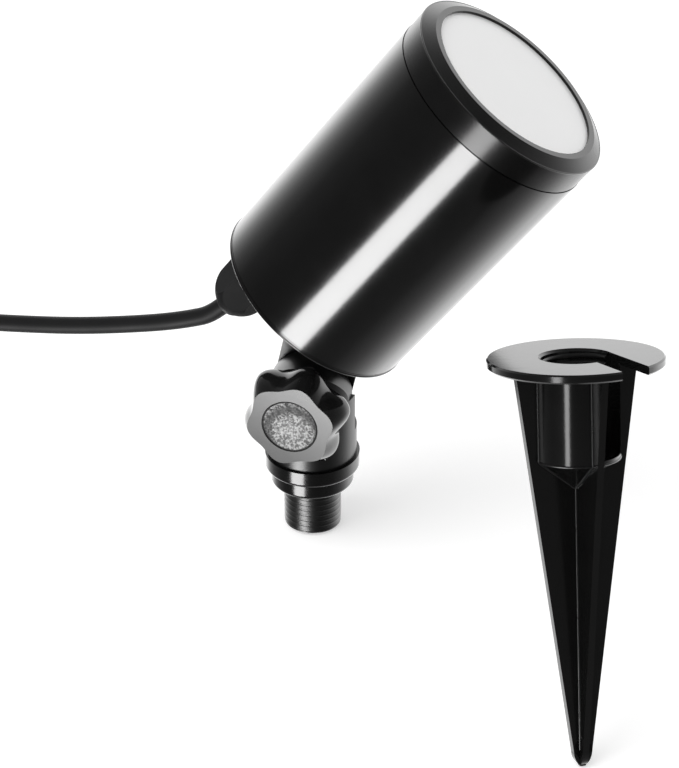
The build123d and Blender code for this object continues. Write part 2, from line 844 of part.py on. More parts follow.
core_top = stub_inside + core_bend + core_rise
with BuildPart() as inner_cores:
    for index in (-1, 0, 1):
        inside_sheath = index * core_spread
        at_entry = index * core_pitch
        core = wire(
            (
                (gland_offset, inside_sheath, stub_inside),
                (gland_offset, inside_sheath, core_top),
                (terminal_near - core_slope_start, at_entry, core_top),
                (terminal_near - core_slope_end, at_entry, entry_height),
                (terminal_near + core_insertion, at_entry, entry_height),
            ),
            core_bend,
        )
        add(core.part)
write(inner_cores, "inner_cores")
with BuildPart() as holder_leads:
    for across, height in lead_places:
        lead = wire(
            (
                (terminal_far - core_insertion, across, entry_height),
                (lead_place, across, entry_height),
                (lead_place, across, height),
                (holder_radius - core_insertion, across, height),
            ),
            core_bend / 2,
        )
        add(lead.part)
write(holder_leads, "holder_leads")

# ---- cable: from inside the head, out of the gland and down to the floor
floor_centre = floor_level + cable_radius
sheath_start = head_plane.from_local_coords((gland_offset, 0, stub_inside))
first_corner = head_plane.from_local_coords((gland_offset, 0, -gland_exit - exit_run))
cable_route = [sheath_start, first_corner]
cable_route += [Vector(x, 0, z) for x, z in cable_points]
cable_route += [Vector(floor_corner_x, 0, floor_centre), Vector(floor_run_end_x, 0, floor_centre)]


def corner_radii(route):
    # the largest arc that each corner's two runs allow
    radii = []
    for before, corner, after in zip(route, route[1:], route[2:]):
        shorter = min((corner - before).length, (after - corner).length)
        turn = radians((corner - before).get_angle(after - corner))
        radii.append(cable_bend_share * shorter / tan(turn / 2))
    return radii


cable_bends = corner_radii(cable_route)
print("cable radii", [round(bend, 1) for bend in cable_bends])
with BuildLine() as cable_line:
    FilletPolyline(*cable_route, radius=cable_bends)
cable = tube_along(cable_line.line, cable_radius)
write(cable, "cable")

# ---- cable_coil: the length put away, two layers that spiral in and out again
coil_inner = coil_middle_radius - coil_pitch * coil_turns / 4
half_climb = coil_climb / 2


def coil_radius(turn):
    # least at the middle of the coil, where the spiral reverses in a smooth curve
    away = abs(turn - coil_turns / 2)
    if away < half_climb:
        away = away * away / coil_climb + coil_climb / 4
    return coil_inner + coil_pitch * away


def coil_lift(turn):
    # the second layer is reached in one smooth climb
    share = (turn - coil_turns / 2 + half_climb) / coil_climb
    share = min(max(share, 0), 1)
    return coil_rise * share * share * (3 - 2 * share)


coil_start_angle = -atan(2 * pi * coil_radius(0) / coil_pitch)
coil_start = Vector(floor_run_end_x - 2 * cable_radius, 0, floor_centre)
coil_centre = coil_start - Vector(cos(coil_start_angle), sin(coil_start_angle), 0) * coil_radius(0)


def coil_point(turn):
    angle = coil_start_angle - 2 * pi * turn
    across = Vector(cos(angle), sin(angle), 0) * coil_radius(turn)
    return coil_centre + across + Vector(0, 0, coil_lift(turn))


def coil_heading(turn):
    return (coil_point(turn + heading_step) - coil_point(turn - heading_step)).normalized()


def biarc(start, start_heading, end, end_heading):
    # two arcs that leave the start and reach the end in the given headings
    chord = end - start
    both = start_heading + end_heading
    bend = 2 * (1 - start_heading.dot(end_heading))
    along = chord.dot(both)
    reach = (-along + (along * along + bend * chord.dot(chord)) ** 0.5) / bend
    first = start + start_heading * reach
    last = end - end_heading * reach
    middle = (first + last) / 2
    TangentArc(start, middle, tangent=start_heading)
    TangentArc(middle, end, tangent=last - first)


knots = [index / coil_arcs for index in range(round(coil_arcs * coil_turns) + 1)]
coil_end = coil_point(coil_turns)
coil_end_heading = coil_heading(coil_turns)
coil_tail = coil_end + coil_end_heading * 2 * cable_radius
with BuildLine() as coil_line:
    Line(Vector(floor_run_end_x, 0, floor_centre), coil_start)
    for here, there in zip(knots, knots[1:]):
        biarc(coil_point(here), coil_heading(here), coil_point(there), coil_heading(there))
    Line(coil_end, coil_tail)
cable_coil = tube_along(coil_line.line, cable_radius)
write(cable_coil, "cable_coil")

samples_per_turn = 48
sample_count = round(coil_turns * samples_per_turn) + 1
coil_samples = [coil_point(index / samples_per_turn) for index in range(sample_count)]
least_gap = min(
    (coil_samples[one] - coil_samples[other]).length
    for one in range(len(coil_samples))
    for other in range(one + samples_per_turn // 2, len(coil_samples))
) - 2 * cable_radius
print("coil's least gap to itself", round(least_gap, 2))

# ---- cable_cores: the bare end of the three cores
end_across = coil_end_heading.cross(Vector(0, 0, 1))
with BuildPart() as cable_cores:
    with BuildSketch(Plane(origin=coil_tail, x_dir=end_across, z_dir=coil_end_heading)):
        with Locations((-core_spread, 0), (0, 0), (core_spread, 0)):
            Circle(core_radius)
    extrude(amount=end_core_length)
write(cable_cores, "cable_cores")
cable_run = sum(edge.length for edge in cable_line.edges())
coil_run = sum(edge.length for edge in coil_line.edges())
cable_section = pi * cable_radius**2
print("cable", round(cable_run, 1), "volume share", round(cable.part.volume / cable_section / cable_run, 4))
print("coil", round(coil_run, 1), "volume share", round(cable_coil.part.volume / cable_section / coil_run, 4))

# ---- spike: flange, slotted threaded boss, cone and fins, one moulding
spike_section = section_of(spike_plane)
fin_bottom = fin_tip_rise - spike_length
with BuildPart() as spike:
    with BuildSketch(spike_section):
        with BuildLine():
            Polyline(
                (0, 0),
                (flange_radius - flange_edge, 0),
                (flange_radius, -flange_edge),
                (flange_radius, flange_edge - flange_thickness),
                (flange_radius - flange_edge, -flange_thickness),
                (socket_boss_radius, -flange_thickness),
                (socket_boss_radius, -socket_boss_depth),
                (socket_cone_end, -socket_boss_depth - socket_cone_depth),
                (0, -socket_boss_depth - socket_cone_depth),
                close=True,
            )
        make_face()
    revolve(axis=Axis(spike_section.origin, spike_section.y_dir))
    for index in range(fin_count):
        turn = Rotation(0, 0, fin_turn + 360 / fin_count * index)
        fin_plane = section_of(Plane(spike_plane.location * turn))
        with BuildSketch(fin_plane):
            with BuildLine():
                Polyline(
                    (0, -flange_thickness),
                    (fin_top_radius, -flange_thickness),
                    (fin_tip_radius, fin_bottom),
                )
                RadiusArc((fin_tip_radius, fin_bottom), (spike_tip_flat, -spike_length), -spike_tip_arc)
                Polyline((spike_tip_flat, -spike_length), (0, -spike_length), (0, -flange_thickness))
            make_face()
        extrude(amount=fin_thickness / 2, both=True)
    with BuildSketch(spike_plane):
        Circle(socket_radius)
    extrude(amount=-socket_depth, mode=Mode.SUBTRACT)
    with BuildSketch(spike_section):
        with BuildLine():
            Polyline(
                (0, 0),
                (socket_mouth, 0),
                (socket_radius, socket_radius - socket_mouth),
                (0, socket_radius - socket_mouth),
                close=True,
            )
        make_face()
    revolve(axis=Axis(spike_section.origin, spike_section.y_dir), mode=Mode.SUBTRACT)
    slot_plane = Plane(spike_plane.location * Rotation(0, 0, slot_turn))
    with BuildSketch(slot_plane):
        with Locations((flange_radius, slot_outer_wall - slot_width / 2)):
            Rectangle(2 * flange_radius, slot_width)
    extrude(amount=-slot_depth, mode=Mode.SUBTRACT)
write(spike, "spike")
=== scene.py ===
import math

import bmesh
import bpy
from mathutils import Matrix, Vector


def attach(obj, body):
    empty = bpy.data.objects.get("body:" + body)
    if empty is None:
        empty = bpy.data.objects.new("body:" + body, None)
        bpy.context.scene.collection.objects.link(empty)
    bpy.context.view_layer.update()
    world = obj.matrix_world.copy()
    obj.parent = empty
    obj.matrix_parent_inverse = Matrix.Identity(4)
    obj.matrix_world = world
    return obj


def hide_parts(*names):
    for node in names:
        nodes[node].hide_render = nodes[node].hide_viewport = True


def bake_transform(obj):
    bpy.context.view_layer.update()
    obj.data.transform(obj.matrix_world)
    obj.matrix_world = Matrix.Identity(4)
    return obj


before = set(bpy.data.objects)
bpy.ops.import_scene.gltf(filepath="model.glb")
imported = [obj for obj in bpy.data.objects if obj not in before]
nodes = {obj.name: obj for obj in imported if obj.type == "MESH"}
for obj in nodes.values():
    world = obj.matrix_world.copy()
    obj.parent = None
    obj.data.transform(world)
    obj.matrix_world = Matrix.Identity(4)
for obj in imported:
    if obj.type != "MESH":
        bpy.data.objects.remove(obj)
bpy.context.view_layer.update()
scene = bpy.context.scene
scene.view_settings.view_transform = "Standard"
mm = 0.001

# ---- camera

cameraView = {
    "place": (0.1758, -0.5888, 0.4078),
    "lookDown": 30.9,       # degrees below the horizon
    "turn": 15.7,           # degrees that it stands to the right of the front
    "lens": 93.75,
    "near": 0.01,           # nothing nearer is drawn
}


def setCamera(view):
    data = bpy.data.cameras.new("photoCamera")
    data.lens = view["lens"]
    data.clip_start = view["near"]
    camera = bpy.data.objects.new("photoCamera", data)
    camera.location = view["place"]
    camera.rotation_euler = (math.radians(90 - view["lookDown"]), 0, math.radians(view["turn"]))
    scene.collection.objects.link(camera)
    scene.camera = camera


setCamera(cameraView)
print("camera set")

# ---- helpers for meshes

meshRules = {
    "mergeWithin": 0.001 * mm,
    "crease": 40,           # degrees, past which an edge stays sharp
}


def newPiece(name, mesh):
    piece = bpy.data.objects.new(name, mesh)
    scene.collection.objects.link(piece)
    return piece


def pieceFrom(bm, name):
    mesh = bpy.data.meshes.new(name)
    bm.to_mesh(mesh)
    bm.free()
    return newPiece(name, mesh)


def closeMesh(bm, name, crease=meshRules["crease"]):
    # merges, turns faces outwards and marks the creases
    bmesh.ops.remove_doubles(bm, verts=bm.verts, dist=meshRules["mergeWithin"])
    bmesh.ops.recalc_face_normals(bm, faces=bm.faces)
    for face in bm.faces:
        face.smooth = True
    for edge in bm.edges:
        joined = len(edge.link_faces) == 2
        edge.smooth = joined and edge.calc_face_angle() < math.radians(crease)
    return pieceFrom(bm, name)


def frameOf(origin, along, side):
    # a matrix whose Z is along and whose X is as near to side as it can be
    zAxis = Vector(along).normalized()
    xAxis = (Vector(side) - zAxis * zAxis.dot(Vector(side))).normalized()
    turn = Matrix((xAxis, zAxis.cross(xAxis), zAxis)).transposed()
    return Matrix.Translation(Vector(origin)) @ turn.to_4x4()


def around(radius, degrees, height):
    # a point about the Z axis
    angle = math.radians(degrees)
    return Vector((radius * math.cos(angle), radius * math.sin(angle), height))


# ---- supply cable

cableSizes = {
    "radius": 3.2 * mm,
    "length": 1.01,
    "hidden": 20 * mm,              # starts this far inside the gland
    "exitRun": 3.6 * mm,            # straight beyond the gland
    "hanging": (                    # as (x, z) in millimetres, in the plane y = 0
        (-48.4, 58.9), (-66.0, 54.7), (-90.0, 50.3), (-114.0, 47.6), (-127.0, 46.5),
        (-141.5, 39.7), (-152.4, 28.0), (-162.1, 3.9), (-170.5, -6.1), (-181.8, -12.6),
    ),
    "floor": -18.8 * mm,
    "floorCorner": -193.9 * mm,     # comes down to the floor here
    "floorRunEnd": -206.0 * mm,     # and turns into the coil here
    "turns": 3.5,
    "middleRadius": 35 * mm,
    "pitch": 7.1 * mm,              # from one turn to the next
    "rise": 6.9 * mm,               # from the lower layer to the upper one
    "climb": 0.5,                   # turns that the change of layer takes
    "pointsPerTurn": 20,
    "smoothness": 10,               # points drawn from one control point to the next
    "tubeSteps": 8,                 # gives the tube 18 sides
    "restsAt": (-0.155, 0, 0.066),  # past this the cable is meant to stay with the base when the head tilts
}
headSizes = {
    "tilt": math.radians(37.6),
    "origin": Vector((2.82008, 0, 77.8273)) * mm,
    "glandOffset": -20.4 * mm,
    "glandExit": 28.9 * mm,
}
headAxis = Vector((math.sin(headSizes["tilt"]), 0, math.cos(headSizes["tilt"])))
headSide = Vector((math.cos(headSizes["tilt"]), 0, -math.sin(headSizes["tilt"])))


def glandPoint(behind):
    # a point on the gland's axis, so far behind the head's rear face
    return headSizes["origin"] + headSide * headSizes["glandOffset"] - headAxis * behind


def coilPoint(turn, sizes, centre, startAngle):
    # two layers that spiral in and out again, with one smooth climb between them
    away = abs(turn - sizes["turns"] / 2)
    if away < sizes["climb"] / 2:
        away = away * away / sizes["climb"] + sizes["climb"] / 4
    radius = sizes["middleRadius"] - sizes["pitch"] * sizes["turns"] / 4 + sizes["pitch"] * away
    share = (turn - sizes["turns"] / 2 + sizes["climb"] / 2) / sizes["climb"]
    share = min(max(share, 0), 1)
    lift = sizes["rise"] * share * share * (3 - 2 * share)
    angle = startAngle - 2 * math.pi * turn
    return centre + Vector((math.cos(angle), math.sin(angle), 0)) * radius + Vector((0, 0, lift))


def cableRoute(sizes):
    level = sizes["floor"] + sizes["radius"]
    route = [glandPoint(headSizes["glandExit"] - sizes["hidden"])]
    route.append(glandPoint(headSizes["glandExit"] + sizes["exitRun"]))
    route += [Vector((x * mm, 0, z * mm)) for x, z in sizes["hanging"]]
    route.append(Vector((sizes["floorCorner"], 0, level)))
    route.append(Vector((sizes["floorRunEnd"], 0, level)))
    outer = sizes["middleRadius"] + sizes["pitch"] * sizes["turns"] / 4
    startAngle = -math.atan(2 * math.pi * outer / sizes["pitch"])
    coilStart = Vector((sizes["floorRunEnd"] - 2 * sizes["radius"], 0, level))
    centre = coilStart - Vector((math.cos(startAngle), math.sin(startAngle), 0)) * outer
    for step in range(round(sizes["turns"] * sizes["pointsPerTurn"]) + 1):
        route.append(coilPoint(step / sizes["pointsPerTurn"], sizes, centre, startAngle))
    justBefore = coilPoint(sizes["turns"] - 0.001, sizes, centre, startAngle)
    heading = (route[-1] - justBefore).normalized()
    route.append(route[-1] + heading * 2 * sizes["radius"])
    return route, heading


def splineOf(name, points, sizes, radius):
    # one smooth line drawn by the route's control points, as a tube where there is a radius
    curve = bpy.data.curves.new(name, "CURVE")
    curve.dimensions = "3D"
    curve.resolution_u = sizes["smoothness"]
    curve.bevel_depth = radius
    curve.bevel_resolution = sizes["tubeSteps"]
    curve.use_fill_caps = radius > 0
    spline = curve.splines.new("NURBS")
    spline.points.add(len(points) - 1)
    for control, point in zip(spline.points, points):
        control.co = (*point, 1)
    spline.order_u = 3
    spline.use_endpoint_u = True
    return newPiece(name, curve)


def meshOf(drawn, name):
    # the evaluated mesh of a curve object, which is then removed
    graph = bpy.context.evaluated_depsgraph_get()
    mesh = bpy.data.meshes.new_from_object(drawn.evaluated_get(graph), depsgraph=graph)
    mesh.name = name
    bpy.data.objects.remove(drawn)
    return mesh


def makeCable(sizes):
    route, heading = cableRoute(sizes)
    line = meshOf(splineOf("cableLine", route, sizes, 0), "cableLine")
    path = [tuple(vertex.co) for vertex in line.vertices]
    tube = meshOf(splineOf("cableTube", route, sizes, sizes["radius"]), "supplyCable")
    for face in tube.polygons:
        face.use_smooth = True
    return newPiece("supplyCable", tube), path, route[-1], heading


coreSizes = {
    "radius": 0.95 * mm,
    "spread": 2.0 * mm,
    "length": 22 * mm,
    "bare": 6 * mm,
    "strandRadius": 0.55 * mm,
    "sides": 20,
}


def makeCores(sizes, tail, heading):
    # three insulated cores with bare strands at their tips
    bm = bmesh.new()
    across = heading.cross(Vector((0, 0, 1))).normalized()
    sleeve = sizes["length"] - sizes["bare"]
    places = (-1, 0, 1)
    slots = {}
    for index, place in enumerate(places):
        start = frameOf(tail + across * sizes["spread"] * place, heading, across)
        parts = (
            (index, sizes["radius"], 0, sleeve),
            (len(places), sizes["strandRadius"], sleeve, sizes["bare"]),
        )
        for slot, radius, begin, length in parts:
            made = bmesh.ops.create_cone(
                bm, cap_ends=True, segments=sizes["sides"], radius1=radius, radius2=radius,
                depth=length, matrix=start @ Matrix.Translation((0, 0, begin + length / 2)),
            )
            for vertex in made["verts"]:
                for face in vertex.link_faces:
                    slots[face] = slot
    for face, slot in slots.items():
        face.material_index = slot
    for face in bm.faces:
        face.smooth = len(face.verts) == 4    # the ends stay flat
    return pieceFrom(bm, "coreEnds")


cable, cablePath, cableTail, cableHeading = makeCable(cableSizes)
coreEnds = makeCores(coreSizes, cableTail, cableHeading)
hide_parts("cable", "cable_coil")
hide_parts("cable_cores")
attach(coreEnds, "base")
cableExit = tuple(glandPoint(headSizes["glandExit"]))
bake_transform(cable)
print("cable made", len(cablePath), "points")

# ---- shader helpers


def feed(socket, value):
    if isinstance(value, Signal):
        socket.id_data.links.new(value.socket, socket)
    else:
        socket.default_value = value


class Signal:
    # one output of a node, so that sums on it become Math nodes

    def __init__(self, socket):
        self.socket = socket

    def maths(self, operation, first, second):
        node = self.socket.id_data.nodes.new("ShaderNodeMath")
        node.operation = operation
        feed(node.inputs[0], first)
        feed(node.inputs[1], second)
        return Signal(node.outputs[0])

    def __add__(self, other):
        return self.maths("ADD", self, other)

    def __radd__(self, other):
        return self.maths("ADD", other, self)

    def __sub__(self, other):
        return self.maths("SUBTRACT", self, other)

    def __rsub__(self, other):
        return self.maths("SUBTRACT", other, self)

    def __mul__(self, other):
        return self.maths("MULTIPLY", self, other)

    def __rmul__(self, other):
        return self.maths("MULTIPLY", other, self)

    def __truediv__(self, other):
        return self.maths("DIVIDE", self, other)

    def __rtruediv__(self, other):
        return self.maths("DIVIDE", other, self)

    def __gt__(self, other):
        return self.maths("GREATER_THAN", self, other)

    def __lt__(self, other):
        return self.maths("LESS_THAN", self, other)


class Finish:
    # a node tree being filled: a material's or the world's

    def __init__(self, tree):
        self.tree = tree
        tree.nodes.clear()

    def add(self, kind, settings, sockets):
        made = self.tree.nodes.new("ShaderNode" + kind)
        for name, value in settings.items():
            if name == "stops":
                self.setStops(made.color_ramp, value)
            else:
                setattr(made, name, value)
        for name, value in sockets.items():
            feed(made.inputs[name], value)
        return made

    def node(self, kind, settings, sockets, output=0):
        return Signal(self.add(kind, settings, sockets).outputs[output])

    def setStops(self, ramp, stops):
        while len(ramp.elements) < len(stops):
            ramp.elements.new(1)
        for element, (place, level) in zip(ramp.elements, stops):
            element.position = place
            element.color = grey(level)

    def place(self):
        return self.node("TexCoord", {}, {}, "Object")

    def noise(self, size, where, detail=3.0):
        # size is the grain's, in metres
        return self.node("TexNoise", {}, {"Vector": where, "Scale": 1 / size, "Detail": detail}, "Fac")

    def ramp(self, value, *stops):
        return self.node("ValToRGB", {"stops": stops}, {"Fac": value}, "Color")

    def distance(self, where, point):
        return self.node("VectorMath", {"operation": "DISTANCE"}, {0: where, 1: point}, "Value")

    def blendColours(self, factor, first, second):
        # 6, 7 and 2 are the Mix node's sockets for colours
        return self.node("Mix", {"data_type": "RGBA"}, {0: factor, 6: first, 7: second}, 2)

    def bump(self, height, depth, normal=None):
        sockets = {"Height": height, "Distance": depth, "Strength": 1.0}
        if normal:
            sockets["Normal"] = normal
        return self.node("Bump", {}, sockets, "Normal")

    def end(self, kind, surface):
        self.add("Output" + kind, {}, {"Surface": surface})

    def coat(self, sockets):
        self.end("Material", self.node("BsdfPrincipled", {}, sockets, "BSDF"))


def newFinish(name):
    material = bpy.data.materials.new(name)
    material.use_nodes = True
    return material, Finish(material.node_tree)


def colour(tint, share=1.0):
    return (*(share * part for part in tint), 1)


def grey(level):
    return (level, level, level, 1)


# ---- painted and glossy finishes

paintSizes = {
    "ior": 1.5,
    "shine": 0.5,            # where a finish gives none of its own
    "peelDetail": 2.0,
    "patchDetail": 4.0,
}
headPaint = {
    "dark": 0.003, "light": 0.005, "rough": 0.12, "roughSpread": 0.05,
    "peelSize": 1.1 * mm, "peelDepth": 0.003 * mm, "patchSize": 9 * mm,
}
bezelPaint = {
    "dark": 0.004, "light": 0.007, "rough": 0.19, "roughSpread": 0.05, "shine": 0.29,
    "peelSize": 1.1 * mm, "peelDepth": 0.004 * mm, "patchSize": 7 * mm,
}
castingPaint = {
    "dark": 0.003, "light": 0.006, "rough": 0.10, "roughSpread": 0.10, "shine": 0.38,
    "peelSize": 1.8 * mm, "peelDepth": 0.012 * mm, "patchSize": 6 * mm,
    "satin": 0.16,           # the cast body and the stud are duller than the turned foot between them
    "satinAbove": 12.7 * mm,
    "satinBelow": -0.3 * mm,
}
spikeSkin = {
    "dark": 0.003, "light": 0.006, "rough": 0.11, "roughSpread": 0.08,
    "peelSize": 3.0 * mm, "peelDepth": 0.014 * mm, "patchSize": 14 * mm,
}
cornerSkin = {
    "dark": 0.004, "light": 0.008, "rough": 0.24, "roughSpread": 0.08,
    "peelSize": 2.0 * mm, "peelDepth": 0.006 * mm, "patchSize": 8 * mm,
}


def paintedFinish(name, sizes):
    # hard glossy coat: a faint orange peel under it, and thin dull patches from handling
    material, made = newFinish(name)
    where = made.place()
    peel = made.noise(sizes["peelSize"], where, paintSizes["peelDetail"])
    patches = made.noise(sizes["patchSize"], where, paintSizes["patchDetail"])
    roughness = patches * sizes["roughSpread"] + sizes["rough"]
    if "satin" in sizes:
        height = made.node("SeparateXYZ", {}, {"Vector": where}, "Z")
        dull = (height > sizes["satinAbove"]) + (height < sizes["satinBelow"])
        roughness = roughness + dull * sizes["satin"]
    made.coat({
        "Base Color": made.blendColours(patches, grey(sizes["dark"]), grey(sizes["light"])),
        "Roughness": roughness,
        "Normal": made.bump(peel, sizes["peelDepth"]),
        "IOR": paintSizes["ior"],
        "Specular IOR Level": sizes.get("shine", paintSizes["shine"]),
    })
    return material


# ---- metals

metalSizes = {
    "broad": 12,             # a broad patch is this many grains wide
    "dark": 0.75,            # the darker patches, as a share of the tint
    "roughSpread": 0.15,
    "depth": 0.01 * mm,
}
metals = {
    "zincSheet": {"tint": (0.58, 0.59, 0.60), "rough": 0.30, "grain": 0.5 * mm},
    "steel": {"tint": (0.55, 0.55, 0.54), "rough": 0.24, "grain": 0.3 * mm},
    "brass": {"tint": (0.72, 0.50, 0.22), "rough": 0.26, "grain": 0.3 * mm},
    "copperStrand": {"tint": (0.80, 0.42, 0.25), "rough": 0.30, "grain": 0.2 * mm},
}


def metalFinish(name, sizes):
    # turned or plated metal with a fine uneven grain
    material, made = newFinish(name)
    where = made.place()
    tint = sizes["tint"]
    fine = made.noise(sizes["grain"], where)
    broad = made.noise(sizes["grain"] * metalSizes["broad"], where)
    made.coat({
        "Base Color": made.blendColours(broad, colour(tint), colour(tint, metalSizes["dark"])),
        "Roughness": fine * metalSizes["roughSpread"] + sizes["rough"],
        "Metallic": 1.0,
        "Normal": made.bump(fine, metalSizes["depth"]),
    })
    return material


# ---- mouldings and rubber

mouldedSizes = {
    "broad": 25,             # as for the metals
    "dark": 0.7,
    "roughSpread": 0.12,
    "fineDetail": 4.0,
    "depth": 0.01 * mm,      # this and the shine hold where a moulding gives none of its own
    "shine": 0.5,
    "ior": 1.48,
}
mouldings = {
    "glandNylon": {"tint": (0.012, 0.012, 0.0125), "rough": 0.58, "grain": 0.5 * mm, "shine": 0.08},
    "cableRubber": {"tint": (0.013, 0.013, 0.0135), "rough": 0.50, "grain": 0.4 * mm, "shine": 0.18},
    "sealRubber": {"tint": (0.018, 0.018, 0.018), "rough": 0.55, "grain": 0.4 * mm, "depth": 0.02 * mm},
    "coreBrown": {"tint": (0.16, 0.06, 0.03), "rough": 0.40, "grain": 0.4 * mm},
    "coreBlue": {"tint": (0.03, 0.10, 0.42), "rough": 0.40, "grain": 0.4 * mm},
    "coreYellow": {"tint": (0.62, 0.50, 0.05), "rough": 0.40, "grain": 0.4 * mm},
    "lampWhite": {"tint": (0.78, 0.77, 0.74), "rough": 0.35, "grain": 0.6 * mm},
}


def mouldedFinish(name, sizes):
    # matt moulding or rubber with a fine skin
    material, made = newFinish(name)
    where = made.place()
    tint = sizes["tint"]
    fine = made.noise(sizes["grain"], where, mouldedSizes["fineDetail"])
    broad = made.noise(sizes["grain"] * mouldedSizes["broad"], where)
    made.coat({
        "Base Color": made.blendColours(broad, colour(tint), colour(tint, mouldedSizes["dark"])),
        "Roughness": broad * mouldedSizes["roughSpread"] + sizes["rough"],
        "Normal": made.bump(fine, sizes.get("depth", mouldedSizes["depth"])),
        "IOR": mouldedSizes["ior"],
        "Specular IOR Level": sizes.get("shine", mouldedSizes["shine"]),
    })
    return material


# ---- knob and its disc

knobSizes = {
    "middle": Vector((0, -27.3, 38.6)) * mm,
    "faceLevel": -27.35 * mm,       # the lobed face lies beyond this
    "faceRough": 0.35,
    "faceFade": 7.0,                # less roughness a metre, towards the upper right
    "fadeAlong": (0.5, 0, 0.87),
    "sideRough": 0.09,
    "roughSpread": 0.04,
    "shine": 0.30,
    "dark": 0.006,
    "light": 0.012,
    "grain": 0.35 * mm,
    "grainDepth": 0.02 * mm,
    "patchSize": 3 * mm,
}


def knobFinish(sizes):
    # satin face with a fine grain, glossy lobes
    material, made = newFinish("knobPlastic")
    where = made.place()
    axis = made.node("SeparateXYZ", {}, {"Vector": where}, "Y")
    face = axis < sizes["faceLevel"]
    grain = made.noise(sizes["grain"], where)
    patches = made.noise(sizes["patchSize"], where)
    fromMiddle = made.node(
        "VectorMath", {"operation": "SUBTRACT"}, {0: where, 1: sizes["middle"]}, "Vector",
    )
    upRight = made.node(
        "VectorMath", {"operation": "DOT_PRODUCT"}, {0: fromMiddle, 1: sizes["fadeAlong"]}, "Value",
    )
    faceRough = sizes["faceRough"] - sizes["sideRough"] - upRight * sizes["faceFade"]
    made.coat({
        "Base Color": made.blendColours(patches, grey(sizes["dark"]), grey(sizes["light"])),
        "Roughness": face * faceRough + sizes["sideRough"] + patches * sizes["roughSpread"],
        "Normal": made.bump(grain * face, sizes["grainDepth"]),
        "Specular IOR Level": sizes["shine"],
    })
    return material


capSizes = {
    "middle": Vector((0, -27.3, 38.6)) * mm,
    "apex": Vector((1.0, -27.3, 36.0)) * mm,     # the disc's dome is highest below its middle
    "dome": 13.0,                                # how fast it falls away, per metre
    "pitSize": 0.45 * mm,
    "grain": 0.675 * mm,
    "grainDepth": 0.24 * mm,
    "paintedGlints": ((0.42, 0.0), (0.60, 1.0)),        # painted glints: where the grain turns from dark to light in the base colour
    "dark": 0.02,
    "light": 0.50,
    "shine": 0.4,
    "rough": 0.22,
    "pitRough": 0.3,
    "ringFrom": 9.45 * mm,                       # painted shade: from here out the disc is near black, standing in for the shaded gap round it
    "paintedGapShade": 0.004,
    "ringRough": 0.3,
    "paintedShadeArc": ((0.58, 0.0), (0.72, 0.8), (0.83, 0.8), (0.97, 0.0)),    # painted shade: a darker arc over the middle, where the domed disc turns away from the light
    "paintedShadeUnit": 12 * mm,
    "paintedShadeRough": 0.2,
}


def capFinish(sizes):
    # coarse spark-eroded disc; its glints, a darker arc and the shade of its edge gap are painted into
    # the base colour
    material, made = newFinish("texturedCap")
    where = made.place()
    pits = made.node(
        "TexVoronoi", {"feature": "F1"}, {"Vector": where, "Scale": 1 / sizes["pitSize"]}, "Distance",
    )
    fine = made.noise(sizes["grain"], where)
    fromApex = made.distance(where, sizes["apex"])
    ring = made.distance(where, sizes["middle"]) > sizes["ringFrom"]
    paintedShadeArc = made.ramp(fromApex / sizes["paintedShadeUnit"], *sizes["paintedShadeArc"])
    dome = made.bump(fromApex * fromApex * -sizes["dome"], 1.0)
    # painted glints: the light grain in the base colour stands in for light caught by the disc's
    # texture
    paintedGlints = made.ramp(fine, *sizes["paintedGlints"])
    base = made.blendColours(paintedGlints, grey(sizes["dark"]), grey(sizes["light"]))
    # painted shade: the arc over the middle is darkened in the base colour
    base = made.blendColours(paintedShadeArc, base, grey(sizes["dark"]))
    rough = pits * sizes["pitRough"] + sizes["rough"] + ring * sizes["ringRough"]
    made.coat({
        # painted shade: the ring round the edge is near black, as the shade of a gap
        "Base Color": made.blendColours(ring, base, grey(sizes["paintedGapShade"])),
        "Roughness": rough + paintedShadeArc * sizes["paintedShadeRough"],
        "Normal": made.bump(fine, sizes["grainDepth"], dome),
        "Specular IOR Level": sizes["shine"],
    })
    return material


# ---- lens

lensSizes = {
    "tint": (0.80, 0.80, 0.80),
    "cloudSize": 24 * mm,
    "cloudDetail": 2.0,
    "cloudDark": 0.96,
    "frost": 0.5 * mm,
    "frostDetail": 4.0,
    "frostDepth": 0.01 * mm,
    "rough": 0.32,
    "roughSpread": 0.1,
    "ior": 1.5,
}


def lensFinish(sizes):
    # frosted glass, faintly cloudy
    material, made = newFinish("frostedGlass")
    where = made.place()
    tint = sizes["tint"]
    frost = made.noise(sizes["frost"], where, sizes["frostDetail"])
    cloud = made.noise(sizes["cloudSize"], where, sizes["cloudDetail"])
    made.coat({
        "Base Color": made.blendColours(cloud, colour(tint), colour(tint, sizes["cloudDark"])),
        "Roughness": frost * sizes["roughSpread"] + sizes["rough"],
        "Normal": made.bump(frost, sizes["frostDepth"]),
        "IOR": sizes["ior"],
    })
    return material


# ---- finishes put on the pieces

metal = {name: metalFinish(name, sizes) for name, sizes in metals.items()}
moulded = {name: mouldedFinish(name, sizes) for name, sizes in mouldings.items()}
finishes = {
    "black_gloss": paintedFinish("blackGlossPaint", headPaint),
    "black_casting": paintedFinish("blackCastingPaint", castingPaint),
    "spike_plastic": paintedFinish("spikePlastic", spikeSkin),
    "knob_plastic": knobFinish(knobSizes),
    "sparkle_plastic": capFinish(capSizes),
    "dark_plastic": moulded["glandNylon"],
    "cable_rubber": moulded["cableRubber"],
    "dark_rubber": moulded["sealRubber"],
    "core_insulation": moulded["coreBlue"],
    "frosted_glass": lensFinish(lensSizes),
    "lamp_white": moulded["lampWhite"],
    "zinc_sheet": metal["zincSheet"],
    "steel": metal["steel"],
    "brass": metal["brass"],
}
bezelFinish = paintedFinish("bezelPaint", bezelPaint)
cornerFinish = paintedFinish("spikeCornerPlastic", cornerSkin)

